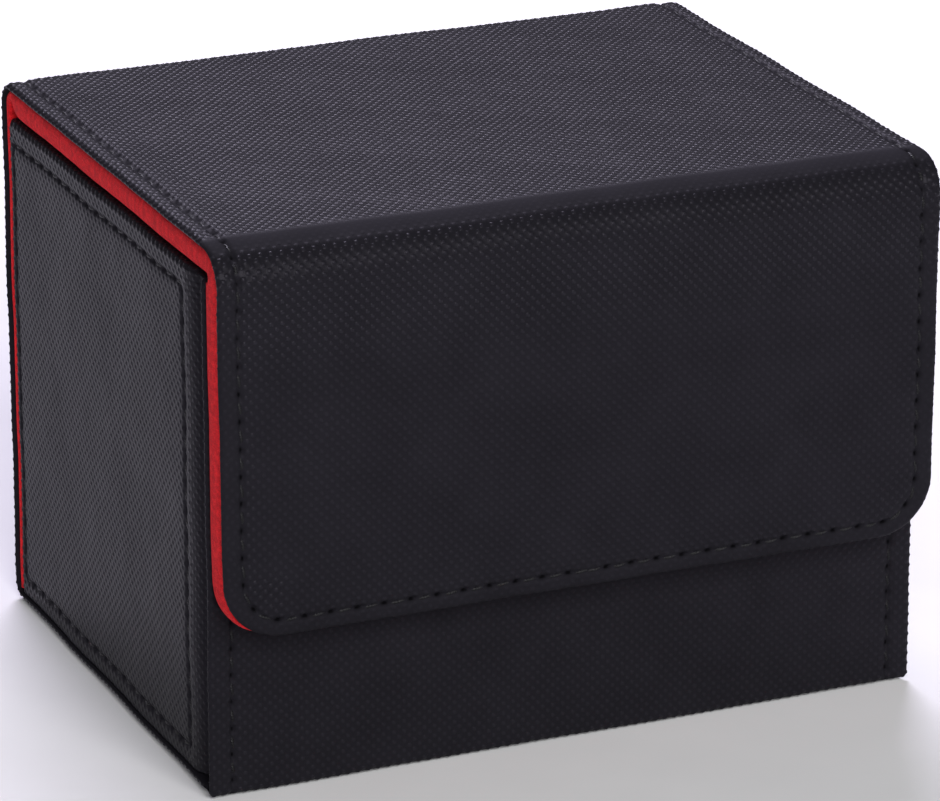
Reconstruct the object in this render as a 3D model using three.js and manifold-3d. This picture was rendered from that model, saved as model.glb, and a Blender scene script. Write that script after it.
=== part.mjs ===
// A card deck box: greyboard walls covered in embossed black leatherette and lined in red microfibre.
// One wide wrap forms the front, base, back, lid and magnetic flap. Two stitched panels close the sides.
// Millimetres. +X to the right, +Y to the back, +Z up. The origin is the centre of the closed footprint.
import * as THREE from "three";
import { mergeVertices } from "three/addons/utils/BufferGeometryUtils.js";
import Module from "manifold-3d";

const wasm = await Module();
wasm.setup();

// Driving dimensions
const WIDTH = 110; // across the wrap
const DEPTH = 91; // flap face to back face
const HEIGHT = 82.6;
const FLAP_STAND = 6.5; // flap face in front of the front wall's face
const FLAP_BOTTOM = 25.7; // height of the closed flap's lower edge
const WALL_TOP = 76.8; // top of the front, side and back walls
const WRAP = 1.2; // leatherette with its turned hem
const SKIN = 1.0; // leatherette on the side panels
const LINING = 0.6; // microfibre glued on a wall
const QUILT = 0.8; // microfibre turned round a board
const SIDE_INSET = 0.4; // side panel's face behind the wrap's edge
const LINING_INSET = 0.8; // lining's edge behind the wrap's edge
const FRONT_BOARD = 1.8;
const BASE_BOARD = 1.8;
const SIDE_BOARD = 2.2;
const BACK_PACK = 1.5; // lined board behind the back's leatherette
const FRONT_FOLD = 6; // outer radius of the lid-to-flap fold
const REAR_FOLD = 4; // outer radius of the back-to-lid fold
const FLAP_CORNER = 9; // radius of the flap's lower corners
const SIDE_ROLL = 1.8; // rolled edge of the side panels
const SIDE_SOFT = 4.5; // padding without a board along the side panels' front edge
const LID_SOFT = 3; // padding without a board beside each of the lid's folds
const GLUE = 0.1; // room round a board inside its cover
const CLEARANCE = 0.3; // between parts that move or are cut to each other
const FOLD_GAP = 0.4; // between the flap and the fold it hangs from
const STITCH_INSET = 2.9; // seam to the wrap's side edges
const FRONT_STITCH_INSET = 3.5; // seam to the front wall's side edges
const HEM_INSET = 2.4; // seam to the flap's lower edge
const SEAM_RADIUS = 5.8; // seam's turn at the flap's corners
const SIDE_SEAM = { front: 6.4, rear: 1.8, top: 3.4, bottom: 2.7 }; // seam to the side panel's edges
const GROOVE = { width: 1.4, depth: 0.6 };
const THREAD = { width: 0.7, depth: 0.45 };
const MAGNET = { radius: 7, depth: 1.2, x: 27, z: 40 };
const DIVIDER = { thickness: 1.6, height: 66, corner: 8, gap: 0.5 };
const ARC_STEPS = 8;

// Planes that the panels share
const HALF = WIDTH / 2;
const BACK = DEPTH / 2;
const FLAP_FACE = -BACK;
const FLAP_BACK = FLAP_FACE + FLAP_STAND - CLEARANCE;
const FRONT = FLAP_FACE + FLAP_STAND;
const FRONT_SKIN = FRONT + WRAP;
const FRONT_IN = FRONT_SKIN + FRONT_BOARD;
const REAR_SKIN = BACK - WRAP;
const REAR_IN = REAR_SKIN - BACK_PACK;
const SIDE = HALF - SIDE_INSET;
const SIDE_IN = SIDE - SKIN - SIDE_BOARD;
const ROOM = SIDE_IN - LINING;
const FLOOR = WRAP + BASE_BOARD;
const LID_UNDER = WALL_TOP + CLEARANCE;
const LID_SKIN = HEIGHT - WRAP;
const FRONT_HINGE = { y: FLAP_FACE + FRONT_FOLD, z: HEIGHT - FRONT_FOLD };
const REAR_HINGE = { y: BACK - REAR_FOLD, z: HEIGHT - REAR_FOLD };
const LID_FRONT = FRONT_HINGE.y;
const LID_REAR = REAR_HINGE.y - CLEARANCE;
const FLAP_TOP = FRONT_HINGE.z - FOLD_GAP;
const BACK_TOP = REAR_HINGE.z - CLEARANCE;
const LINED = HALF - LINING_INSET;
const SEAM = HALF - STITCH_INSET;
const FRONT_SEAM = HALF - FRONT_STITCH_INSET;

const MATERIALS = {
  leatherette: new THREE.MeshStandardMaterial({ color: 0x222126, roughness: 0.55, metalness: 0 }),
  microfibre: new THREE.MeshStandardMaterial({ color: 0xb3161c, roughness: 0.95, metalness: 0 }),
  greyboard: new THREE.MeshStandardMaterial({ color: 0x8a8782, roughness: 0.9, metalness: 0 }),
  thread: new THREE.MeshStandardMaterial({ color: 0x101013, roughness: 0.7, metalness: 0 }),
  magnet: new THREE.MeshStandardMaterial({ color: 0xb9bcc0, roughness: 0.3, metalness: 1 }),
};

const box = new THREE.Group();
const span = (a, b) => [Math.min(a, b), Math.max(a, b)];
const shrink = ([low, high], by) => [low + by, high - by];

function add(name, geometry, material) {
  const mesh = new THREE.Mesh(geometry, MATERIALS[material]);
  mesh.name = name;
  box.add(mesh);
}

// A straight-sided block between low and high values on each axis
function block([x0, x1], [y0, y1], [z0, z1]) {
  const geometry = new THREE.BoxGeometry(x1 - x0, y1 - y0, z1 - z0);
  return geometry.translate((x0 + x1) / 2, (y0 + y1) / 2, (z0 + z1) / 2);
}

// The same block, larger all round by the glue line
function pocket(...ranges) {
  return block(...ranges.map((range) => shrink(range, -GLUE)));
}

function solid(geometry) {
  const bare = geometry.clone();
  bare.deleteAttribute("normal");
  bare.deleteAttribute("uv");
  const merged = mergeVertices(bare, 1e-4);
  return new wasm.Manifold(
    new wasm.Mesh({
      numProp: 3,
      vertProperties: new Float32Array(merged.attributes.position.array),
      triVerts: new Uint32Array(merged.index.array),
    }),
  );
}

function geometryOf(body) {
  const mesh = body.getMesh();
  const geometry = new THREE.BufferGeometry();
  geometry.setAttribute("position", new THREE.BufferAttribute(mesh.vertProperties, 3));
  geometry.setIndex(new THREE.BufferAttribute(mesh.triVerts, 1));
  return geometry;
}

function cut(geometry, tools) {
  let body = solid(geometry);
  for (const tool of tools) body = body.subtract(solid(tool));
  return geometryOf(body);
}

function join(geometries) {
  const [first, ...others] = geometries.map(solid);
  return geometryOf(others.reduce((body, other) => body.add(other), first));
}

// A shape drawn in (x, z), pushed along Y from y0 to y1
function alongY(shape, y0, y1) {
  const settings = { depth: y1 - y0, bevelEnabled: false, curveSegments: ARC_STEPS };
  return new THREE.ExtrudeGeometry(shape, settings).rotateX(Math.PI / 2).translate(0, y1, 0);
}

// A shape drawn in (y, z), pushed along X from x0 to x1
function alongX(shape, x0, x1, settings = {}) {
  const plain = { depth: x1 - x0, bevelEnabled: false, curveSegments: ARC_STEPS };
  const geometry = new THREE.ExtrudeGeometry(shape, { ...plain, ...settings });
  const turn = new THREE.Matrix4().set(0, 0, 1, 0, 1, 0, 0, 0, 0, 1, 0, 0, 0, 0, 0, 1);
  return geometry.applyMatrix4(turn).translate(x0, 0, 0);
}

// A rounded rectangle, usable as a Shape or as a hole in one
function rounded(Kind, [a0, a1], [b0, b1], radius) {
  const path = new Kind();
  path.absarc(a1 - radius, b0 + radius, radius, -Math.PI / 2, 0, false);
  path.absarc(a1 - radius, b1 - radius, radius, 0, Math.PI / 2, false);
  path.absarc(a0 + radius, b1 - radius, radius, Math.PI / 2, Math.PI, false);
  path.absarc(a0 + radius, b0 + radius, radius, Math.PI, 1.5 * Math.PI, false);
  path.closePath();
  return path;
}

// A closed seam: a band of the given width whose middle line is a rounded rectangle
function seamLoop([a0, a1], [b0, b1], radius, width) {
  const half = width / 2;
  const outside = [[a0 - half, a1 + half], [b0 - half, b1 + half]];
  const inside = [[a0 + half, a1 - half], [b0 + half, b1 - half]];
  const band = rounded(THREE.Shape, ...outside, radius + half);
  band.holes.push(rounded(THREE.Path, ...inside, radius - half));
  return band;
}

// A panel with square top corners and round lower corners
function tongue(half, bottom, top, radius) {
  const shape = new THREE.Shape();
  shape.moveTo(half, top);
  shape.lineTo(-half, top);
  shape.absarc(radius - half, bottom + radius, radius, Math.PI, 1.5 * Math.PI, false);
  shape.absarc(half - radius, bottom + radius, radius, 1.5 * Math.PI, 2 * Math.PI, false);
  shape.closePath();
  return shape;
}

// The U-shaped seam of the flap: down one side, along the bottom and up the other
function seamU(width) {
  const bottom = FLAP_BOTTOM + HEM_INSET;
  const side = width / 2;
  const shape = tongue(SEAM + side, bottom - side, FLAP_TOP, SEAM_RADIUS + side);
  const inner = tongue(SEAM - side, bottom + side, FLAP_TOP + GROOVE.width, SEAM_RADIUS - side);
  return { shape, inner };
}

function flapSeam({ width, depth }, floor) {
  const { shape, inner } = seamU(width);
  const low = floor - depth;
  return cut(alongY(shape, low, floor), [alongY(inner, low - 1, floor + 1)]);
}

// A quarter ring across a fold, drawn in (y, z) round the fold's centre
function foldArc({ y, z }, outer, inner, start) {
  const shape = new THREE.Shape();
  shape.absarc(y, z, outer, start, start + Math.PI / 2, false);
  if (inner > 0) shape.absarc(y, z, inner, start + Math.PI / 2, start, true);
  else shape.lineTo(y, z);
  shape.closePath();
  return shape;
}

// Straight seams run the full length of a wrap panel. Each is a groove in the skin with a thread in it.
// face is the skin's outer plane, inward the direction from it into the skin.
function straightSeam(x, axis, run, face, inward) {
  const floor = face + inward * GROOVE.depth;
  const lay = (width, layer) => {
    const across = [x - width / 2, x + width / 2];
    return axis === "y" ? block(across, run, layer) : block(across, layer, run);
  };
  return {
    groove: lay(GROOVE.width, span(face, floor)),
    thread: lay(THREAD.width, span(floor, floor - inward * THREAD.depth)),
  };
}

function seamPair(panel, axis, run, face, inward, distance = SEAM) {
  const sides = { left: -distance, right: distance };
  return Object.entries(sides).map(([side, x]) => {
    const seam = straightSeam(x, axis, run, face, inward);
    add(`${panel}_${side}_stitching`, seam.thread, "thread");
    return seam.groove;
  });
}

// Base: leatherette underneath, a board between the side panels, and the lining of the floor
function addBase() {
  const grooves = seamPair("base", "y", [FRONT_SKIN, REAR_SKIN], 0, 1);
  const cover = block([-HALF, HALF], [FRONT_SKIN, REAR_SKIN], [0, WRAP]);
  add("base_cover", cut(cover, grooves), "leatherette");
  add("base_board", block([-SIDE_IN, SIDE_IN], [FRONT_IN, REAR_IN], [WRAP, FLOOR]), "greyboard");
  const floor = block([-ROOM, ROOM], [FRONT_IN + LINING, REAR_IN], [FLOOR, FLOOR + LINING]);
  add("base_lining", floor, "microfibre");
}

// Front wall: a skin turned over the board's edges, with two magnets let into the board
function addFront() {
  const edge = SIDE - SKIN;
  const boardX = [SKIN - edge, edge - SKIN];
  const boardY = [FRONT_SKIN, FRONT_IN];
  const boardZ = [WRAP + SKIN, WALL_TOP - SKIN];
  const grooves = seamPair("front", "z", [0, WALL_TOP], FRONT, 1, FRONT_SEAM);
  const face = alongY(rounded(THREE.Shape, [-HALF, HALF], [0, WALL_TOP], SIDE_ROLL), FRONT, FRONT_SKIN);
  const turned = block([-edge, edge], [FRONT_SKIN - SKIN / 2, FRONT_IN], [WRAP, WALL_TOP]);
  const cover = join([face, turned]);
  const cavity = pocket(boardX, [FRONT_SKIN + GLUE, FRONT_IN + SKIN], boardZ);
  add("front_cover", cut(cover, [cavity, ...grooves]), "leatherette");
  const board = block(boardX, boardY, boardZ);
  add("front_board", cut(board, magnetPockets(FRONT_SKIN, 1)), "greyboard");
  addMagnets("front", FRONT_SKIN, 1);
  const lining = block([-ROOM, ROOM], [FRONT_IN, FRONT_IN + LINING], [FLOOR, WALL_TOP - SKIN]);
  add("front_lining", lining, "microfibre");
}

function disc(radius, x, y0, y1) {
  const circle = new THREE.Shape();
  circle.absarc(x, MAGNET.z, radius, 0, 2 * Math.PI, false);
  return alongY(circle, y0, y1);
}

// Magnets sit in round pockets that open in the board's face at y, towards the other wall's magnets
function magnetPockets(face, inward) {
  const floor = face + inward * (MAGNET.depth + CLEARANCE);
  const [low, high] = span(face - inward, floor);
  return [-MAGNET.x, MAGNET.x].map((x) => disc(MAGNET.radius + CLEARANCE, x, low, high));
}

function addMagnets(panel, face, inward) {
  const [low, high] = span(face, face + inward * MAGNET.depth);
  add(`${panel}_left_magnet`, disc(MAGNET.radius, -MAGNET.x, low, high), "magnet");
  add(`${panel}_right_magnet`, disc(MAGNET.radius, MAGNET.x, low, high), "magnet");
}

// A lined pack: microfibre turned round a board's edges, open towards the leatherette that is glued on it
function linedPack(name, outer, board, boardCuts = []) {
  add(`${name}_lining`, cut(outer, [pocket(...board.cavity)]), "microfibre");
  const core = block(...board.solid);
  add(`${name}_board`, boardCuts.length ? cut(core, boardCuts) : core, "greyboard");
}

function addBack() {
  const grooves = seamPair("back", "z", [0, REAR_HINGE.z], BACK, -1);
  const cover = block([-HALF, HALF], [REAR_SKIN, BACK], [0, REAR_HINGE.z]);
  add("back_cover", cut(cover, grooves), "leatherette");
  const x = [QUILT - LINED, LINED - QUILT];
  const z = [WRAP + QUILT, BACK_TOP - QUILT];
  linedPack("back", block([-LINED, LINED], [REAR_IN, REAR_SKIN], [WRAP, BACK_TOP]), {
    solid: [x, [REAR_IN + QUILT, REAR_SKIN], z],
    cavity: [x, [REAR_IN + QUILT, REAR_SKIN + QUILT], z],
  });
}

// Side panels: a padded skin with rolled edges and a stitched border, a board, and the lining inside.
// sign is -1 for the left panel and 1 for the right one.
function addSide(name, sign) {
  const y = [FRONT_IN, REAR_IN];
  const z = [WRAP, WALL_TOP];
  const inner = sign * SIDE_IN;
  const layer = (from, to) => span(inner + sign * from, inner + sign * to);
  const thickness = SKIN + SIDE_BOARD;
  const pushed = {
    depth: 2 * (thickness - SIDE_ROLL),
    bevelEnabled: true,
    bevelThickness: SIDE_ROLL,
    bevelSize: SIDE_ROLL,
    bevelSegments: 4,
  };
  const outline = rounded(THREE.Shape, shrink(y, SIDE_ROLL), shrink(z, SIDE_ROLL), GLUE);
  const pillow = alongX(outline, -pushed.depth / 2, 0, pushed).translate(inner, 0, 0);
  const spare = block(layer(-WIDTH, 0), shrink(y, -SKIN), shrink(z, -SKIN));
  const boardYZ = [[y[0] + SIDE_SOFT, y[1] - SKIN], shrink(z, SKIN)];
  const cavity = pocket(layer(-SKIN, SIDE_BOARD), ...boardYZ);
  const seamY = [y[0] + SIDE_SEAM.front, y[1] - SIDE_SEAM.rear];
  const seamZ = [z[0] + SIDE_SEAM.bottom, z[1] - SIDE_SEAM.top];
  const seam = [seamY, seamZ, SIDE_ROLL];
  const grooveFloor = thickness - GROOVE.depth;
  const groove = alongX(seamLoop(...seam, GROOVE.width), ...layer(grooveFloor, thickness + SKIN));
  const thread = alongX(seamLoop(...seam, THREAD.width), ...layer(grooveFloor, grooveFloor + THREAD.depth));
  add(`${name}_side_cover`, cut(pillow, [spare, cavity, groove]), "leatherette");
  add(`${name}_side_board`, block(layer(0, SIDE_BOARD), ...boardYZ), "greyboard");
  add(`${name}_side_stitching`, thread, "thread");
  add(`${name}_side_lining`, block(layer(-LINING, 0), y, [FLOOR, WALL_TOP - SKIN]), "microfibre");
}

function addLid() {
  const grooves = seamPair("lid", "y", [LID_FRONT, LID_REAR], HEIGHT, -1);
  const cover = block([-HALF, HALF], [LID_FRONT, LID_REAR], [LID_SKIN, HEIGHT]);
  add("lid_cover", cut(cover, grooves), "leatherette");
  const x = [QUILT - LINED, LINED - QUILT];
  const y = [LID_FRONT + LID_SOFT, LID_REAR - LID_SOFT];
  linedPack("lid", block([-LINED, LINED], [LID_FRONT, LID_REAR], [LID_UNDER, LID_SKIN]), {
    solid: [x, y, [LID_UNDER + QUILT, LID_SKIN]],
    cavity: [x, y, [LID_UNDER + QUILT, LID_SKIN + QUILT]],
  });
}

// The folds are single strips of the wrap with a soft lining roll inside them
function addFolds() {
  const front = foldArc(FRONT_HINGE, FRONT_FOLD, FRONT_FOLD - WRAP, Math.PI / 2);
  add("front_hinge_strip", alongX(front, -HALF, HALF), "leatherette");
  const frontRoll = foldArc(FRONT_HINGE, FRONT_FOLD - WRAP - GLUE, 0, Math.PI / 2);
  add("front_hinge_lining", alongX(frontRoll, -LINED, LINED), "microfibre");
  const rear = foldArc(REAR_HINGE, REAR_FOLD, REAR_FOLD - WRAP, 0);
  add("rear_hinge_strip", alongX(rear, -HALF, HALF), "leatherette");
  const rearRoll = foldArc(REAR_HINGE, REAR_FOLD - WRAP - GLUE, 0, 0);
  add("rear_hinge_lining", alongX(rearRoll, -LINED, LINED), "microfibre");
}

function addFlap() {
  const skinBack = FLAP_FACE + WRAP;
  const panel = tongue(HALF, FLAP_BOTTOM, FLAP_TOP, FLAP_CORNER);
  const grooveFloor = FLAP_FACE + GROOVE.depth;
  const groove = flapSeam({ width: GROOVE.width, depth: 2 * GROOVE.depth }, grooveFloor);
  add("flap_cover", cut(alongY(panel, FLAP_FACE, skinBack), [groove]), "leatherette");
  add("flap_stitching", flapSeam(THREAD, grooveFloor), "thread");
  const inset = (by) => tongue(HALF - by, FLAP_BOTTOM + by, FLAP_TOP - by + LINING_INSET, FLAP_CORNER - by);
  const boardShape = inset(LINING_INSET + QUILT);
  const boardBack = FLAP_BACK - QUILT;
  const cavity = alongY(inset(LINING_INSET + QUILT - GLUE), skinBack - QUILT, boardBack + GLUE);
  add("flap_lining", cut(alongY(inset(LINING_INSET), skinBack, FLAP_BACK), [cavity]), "microfibre");
  const board = alongY(boardShape, skinBack, boardBack);
  add("flap_board", cut(board, magnetPockets(boardBack, -1)), "greyboard");
  addMagnets("flap", boardBack, -1);
}

// Two loose dividers stand across the room and slide to hold the cards upright
function addDividers() {
  const half = ROOM - DIVIDER.gap;
  const side = half - DIVIDER.corner;
  const floor = FLOOR + LINING + CLEARANCE;
  const shoulder = floor + DIVIDER.height - DIVIDER.corner;
  const room = [FRONT_IN + LINING, REAR_IN];
  const shape = new THREE.Shape();
  shape.moveTo(-half, floor);
  shape.lineTo(half, floor);
  shape.absarc(side, shoulder, DIVIDER.corner, 0, Math.PI / 2);
  shape.absarc(-side, shoulder, DIVIDER.corner, Math.PI / 2, Math.PI);
  shape.closePath();
  const places = { front: 1 / 3, rear: 2 / 3 };
  for (const [name, share] of Object.entries(places)) {
    const y = room[0] + share * (room[1] - room[0]) - DIVIDER.thickness / 2;
    add(`${name}_divider`, alongY(shape, y, y + DIVIDER.thickness), "microfibre");
  }
}

addBase();
addFront();
addBack();
addSide("left", -1);
addSide("right", 1);
addLid();
addFolds();
addFlap();
addDividers();

export default box;
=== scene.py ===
"""Looks for the card deck box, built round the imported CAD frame.

Lengths are millimetres until a mesh is made. +X is right, +Y is back and +Z is up.
"""

import math

import bmesh
import bpy
import numpy as np
from mathutils import Matrix, Vector


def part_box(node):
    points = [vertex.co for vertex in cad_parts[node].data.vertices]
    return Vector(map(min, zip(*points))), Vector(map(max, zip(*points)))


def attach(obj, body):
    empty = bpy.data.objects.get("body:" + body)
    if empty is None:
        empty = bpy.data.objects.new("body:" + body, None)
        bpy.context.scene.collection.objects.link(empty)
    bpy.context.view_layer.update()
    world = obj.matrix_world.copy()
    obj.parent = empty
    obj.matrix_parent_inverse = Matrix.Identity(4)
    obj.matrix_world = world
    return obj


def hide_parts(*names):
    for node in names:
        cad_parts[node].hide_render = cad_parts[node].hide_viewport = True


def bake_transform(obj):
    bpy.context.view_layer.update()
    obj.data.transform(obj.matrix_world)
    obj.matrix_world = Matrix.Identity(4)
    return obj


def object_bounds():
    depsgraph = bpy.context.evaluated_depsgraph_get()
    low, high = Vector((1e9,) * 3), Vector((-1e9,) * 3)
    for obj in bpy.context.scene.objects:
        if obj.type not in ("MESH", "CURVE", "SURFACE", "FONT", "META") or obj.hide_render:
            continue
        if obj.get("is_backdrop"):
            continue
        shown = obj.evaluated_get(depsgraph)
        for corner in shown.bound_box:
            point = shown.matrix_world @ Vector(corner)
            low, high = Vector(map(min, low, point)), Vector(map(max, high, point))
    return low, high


MM = 0.001
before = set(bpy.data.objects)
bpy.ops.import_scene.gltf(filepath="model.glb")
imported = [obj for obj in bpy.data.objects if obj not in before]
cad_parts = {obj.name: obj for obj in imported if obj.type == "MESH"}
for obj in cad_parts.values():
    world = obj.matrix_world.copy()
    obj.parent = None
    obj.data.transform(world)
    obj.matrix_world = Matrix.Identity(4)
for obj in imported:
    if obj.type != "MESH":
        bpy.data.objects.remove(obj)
cad_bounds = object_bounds()

# Planes read from the CAD, in millimetres
X, Y, Z = range(3)
SIDES = (("left", -1), ("right", 1))


def span(node, axis):
    low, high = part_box(node)
    return low[axis] / MM, high[axis] / MM


HALF = span("lid_cover", X)[1]
TOP = span("lid_cover", Z)[1]
BACK = span("back_cover", Y)[1]
FLAP_FACE = span("flap_cover", Y)[0]
FLAP_BOTTOM = span("flap_cover", Z)[0]
FLAP_BACK = span("flap_lining", Y)[1]
FRONT, FRONT_IN = span("front_cover", Y)
REAR_IN = span("back_lining", Y)[0]
WALL_TOP = span("front_cover", Z)[1]
LID_UNDER = span("lid_lining", Z)[0]
SIDE = span("right_side_cover", X)[1]
SIDE_IN = span("right_side_cover", X)[0]
WRAP = span("base_cover", Z)[1]
FRONT_FOLD = -FLAP_FACE + span("front_hinge_strip", Y)[1]
REAR_FOLD = BACK - span("rear_hinge_strip", Y)[0]
FRONT_HINGE = (FLAP_FACE + FRONT_FOLD, TOP - FRONT_FOLD)
REAR_HINGE = (BACK - REAR_FOLD, TOP - REAR_FOLD)

# Leatherette
EMBOSS = 1.552  # repeat of the embossed lattice along and across the wrap
SEAM = 2.9  # seam to the wrap's side edges
HEM_SEAM = 2.4  # seam to the flap's lower edge
PITCH = 4.0  # one lockstitch
BASE_FOLD = 2.6  # outer radius of the base-to-back fold
JOINT = 6.0  # flat of the lid that belongs to the flap's piece
BASE_JOINT = 30.0  # where the base's piece meets the back's, under the box
SHEET = 1.2  # leatherette with its turned hem
RELIEF = 0.13  # height of the embossed bumps
SMOOTH = 0.25  # relief up to which the skin has no bumps
GROOVE, GROOVE_WIDTH = 0.2, 0.42  # depth and half width of the groove that the thread lies in
VALLEY, VALLEY_WIDTH = 0.1, 1.1  # and of the softer valley round it
HOLE, DEEP_HOLE = 0.24, 0.42  # depth of a needle hole under the groove, deeper where the skin is taut
HOLE_WIDTH = 0.6  # half length of a needle hole
ROW = EMBOSS / 4  # mesh rows along a wrap and columns across it, so that each bump has a row and a column
COARSE = 4.0  # columns where nothing is embossed
FINE_REACH = 1.3  # skin beside a seam whose mesh is twice as fine
BORDER = 9.0  # about the radius of the flap's lower corners, and the width of a wrap's worked border
CORNER = HALF - ROW * round((HALF - BORDER) / ROW)  # the same with whole columns left between the borders

# Unevenness of a glued box
WAVES = ((41, 0.144), (19, 0.048), (9, 0.019))  # length and height of each wave
WAVE_AXES = np.array([[0.36, 0.48, -0.8], [-0.8, 0.6, 0.0], [0.48, 0.64, 0.6]])  # not the box's own axes
WAVE_SHIFT = np.array([2.1, 1.0, 1.3])  # makes the three directions' waves differ

# ---------------------------------------------------------------- meshes


def waver(points):
    """The small unevenness of a glued box. Every piece gets the same field, so neighbours stay in touch."""
    moved = np.array(points, float)
    for axis in (X, Y, Z):
        for length, height in WAVES:
            phase = points @ WAVE_AXES * (2 * math.pi / length) + axis * WAVE_SHIFT
            moved[:, axis] += height * np.sin(phase[:, 0]) * np.sin(phase[:, 1]) * np.cos(phase[:, 2])
    return moved


def emboss(surface):
    """Height of the embossed lattice from 0 to 1, at points (across, along, relief) of the sheet."""
    wave = np.cos(2 * math.pi * surface[:, 0] / EMBOSS) * np.cos(2 * math.pi * surface[:, 1] / EMBOSS)
    return np.clip(wave, 0, 1) * np.clip((surface[:, 2] - SMOOTH) / (1 - SMOOTH), 0, 1)


class Shell:
    """Collects grids of points, welds them where they meet, and makes one closed mesh."""

    def __init__(self):
        self.points, self.surface, self.faces, self.count = [], [], [], 0

    def patch(self, points, surface, closed=False):
        rows, columns = points.shape[:2]
        ids = self.count + np.arange(rows * columns).reshape(rows, columns)
        if closed:
            ids = np.concatenate([ids, ids[:, :1]], 1)
        quads = np.stack([ids[:-1, :-1], ids[1:, :-1], ids[1:, 1:], ids[:-1, 1:]], -1)
        self.faces.append(quads.reshape(-1, 4))
        self.points.append(points.reshape(-1, 3))
        self.surface.append(surface.reshape(-1, 3))
        self.count += rows * columns

    def build(self, name, material):
        points = waver(np.concatenate(self.points)) * MM
        mesh = bpy.data.meshes.new(name)
        mesh.from_pydata(points, [], np.concatenate(self.faces).tolist())
        layer = mesh.attributes.new("surface", "FLOAT_VECTOR", "POINT")
        layer.data.foreach_set("vector", np.concatenate(self.surface).ravel())
        bm = bmesh.new()
        bm.from_mesh(mesh)
        bmesh.ops.remove_doubles(bm, verts=bm.verts, dist=1e-6)
        bmesh.ops.dissolve_degenerate(bm, edges=bm.edges, dist=1e-7)
        bmesh.ops.holes_fill(bm, edges=[e for e in bm.edges if e.is_boundary], sides=0)
        bmesh.ops.recalc_face_normals(bm, faces=bm.faces)
        bm.normal_update()
        caps = {face for face in bm.faces if len(face.verts) > 4}
        for face in bm.faces:
            face.smooth = face not in caps
        for cap in caps:
            for edge in cap.edges:
                edge.smooth = False
            for vertex in cap.verts:
                normals = [face.normal for face in vertex.link_faces if face not in caps]
                vertex.normal = sum(normals, Vector()).normalized()
        if material is LEATHER:
            sheet = bm.verts.layers.float_vector["surface"]
            lift = emboss(np.array([v[sheet] for v in bm.verts])) * RELIEF * MM
            for vertex, height in zip(bm.verts, lift):
                if height > 0:
                    vertex.co += vertex.normal * height
        bm.to_mesh(mesh)
        bm.free()
        mesh.materials.append(material)
        obj = bpy.data.objects.new(name, mesh)
        bpy.context.scene.collection.objects.link(obj)
        return obj


class Path:
    """A line through (y, z) made of straights and arcs. Its normal points out of the box."""

    def __init__(self, y, z, heading):
        self.here, self.heading, self.parts, self.length = (y, z), heading, [], 0.0

    def straight(self, length):
        self.parts.append((self.length, self.here, self.heading, None))
        a = math.radians(self.heading)
        self.here = (self.here[0] + math.cos(a) * length, self.here[1] + math.sin(a) * length)
        self.length += length
        return self

    def bend(self, radius):
        """Adds a quarter turn."""
        self.parts.append((self.length, self.here, self.heading, radius))
        a, b = math.radians(self.heading), math.radians(self.heading + 90)
        self.here = (
            self.here[0] + radius * (math.sin(b) - math.sin(a)),
            self.here[1] - radius * (math.cos(b) - math.cos(a)),
        )
        self.heading += 90
        self.length += math.pi / 2 * radius
        return self

    def at(self, s):
        """(y, z, normal y, normal z) at a distance along the path."""
        start, (y, z), heading, radius = [part for part in self.parts if part[0] <= s + 1e-9][-1]
        a = math.radians(heading)
        run = s - start
        if radius is None:
            return y + math.cos(a) * run, z + math.sin(a) * run, math.sin(a), -math.cos(a)
        b = a + run / radius
        y += radius * (math.sin(b) - math.sin(a))
        z -= radius * (math.cos(b) - math.cos(a))
        return y, z, math.sin(b), -math.cos(b)

    def stops(self, laid=0.0):
        """Distances to put mesh rows at: the ends of each part, and each row of the emboss."""
        ends = [*(part[0] for part in self.parts), self.length]
        rows = np.arange(math.ceil(laid / ROW), math.floor((laid + self.length) / ROW) + 1) * ROW - laid
        return np.array(sorted([*ends, *(s for s in rows if min(abs(s - end) for end in ends) > ROW / 4)]))


def even(half, step):
    """Evenly spaced places from -half to half."""
    return np.linspace(-half, half, round(2 * half / step) + 1)


def emboss_lines(low, high, seams=()):
    """Mesh lines from low to high on each row of the emboss, twice as close beside the seams."""
    half_rows = np.arange(math.ceil(2 * low / ROW), math.floor(2 * high / ROW) + 1)
    near = np.array([any(abs(k * ROW / 2 - seam) < FINE_REACH for seam in seams) for k in half_rows])
    lines = half_rows[near | (half_rows % 2 == 0)] * ROW / 2
    return [low, *(v for v in lines if low + ROW / 4 < v < high - ROW / 4), high]


def hole(along):
    """How deep the needle's holes are at a distance along a seam: 1 at a hole, 0 between two."""
    away = (along / PITCH - np.floor(along / PITCH) - 0.5) * PITCH
    return np.exp(-((away / HOLE_WIDTH) ** 2))


def seam_dip(off, along, pull=HOLE):
    """Depth of the valley that a seam pulls into the skin, off to its side and along it."""
    groove = np.exp(-((off / GROOVE_WIDTH) ** 2))
    valley = np.exp(-((off / VALLEY_WIDTH) ** 2))
    return GROOVE * groove + VALLEY * valley + pull * groove * hole(along)


def seam_relief(dip):
    """Share of the emboss left beside a seam. The material also reads it for the seam's roughness, and
    paints the colour darker where it is low, as shade in the groove and needle holes.
    """
    deepest, flattened = 0.62, 0.95
    return 1 - flattened * np.clip(dip / deepest, 0, 1)


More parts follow.
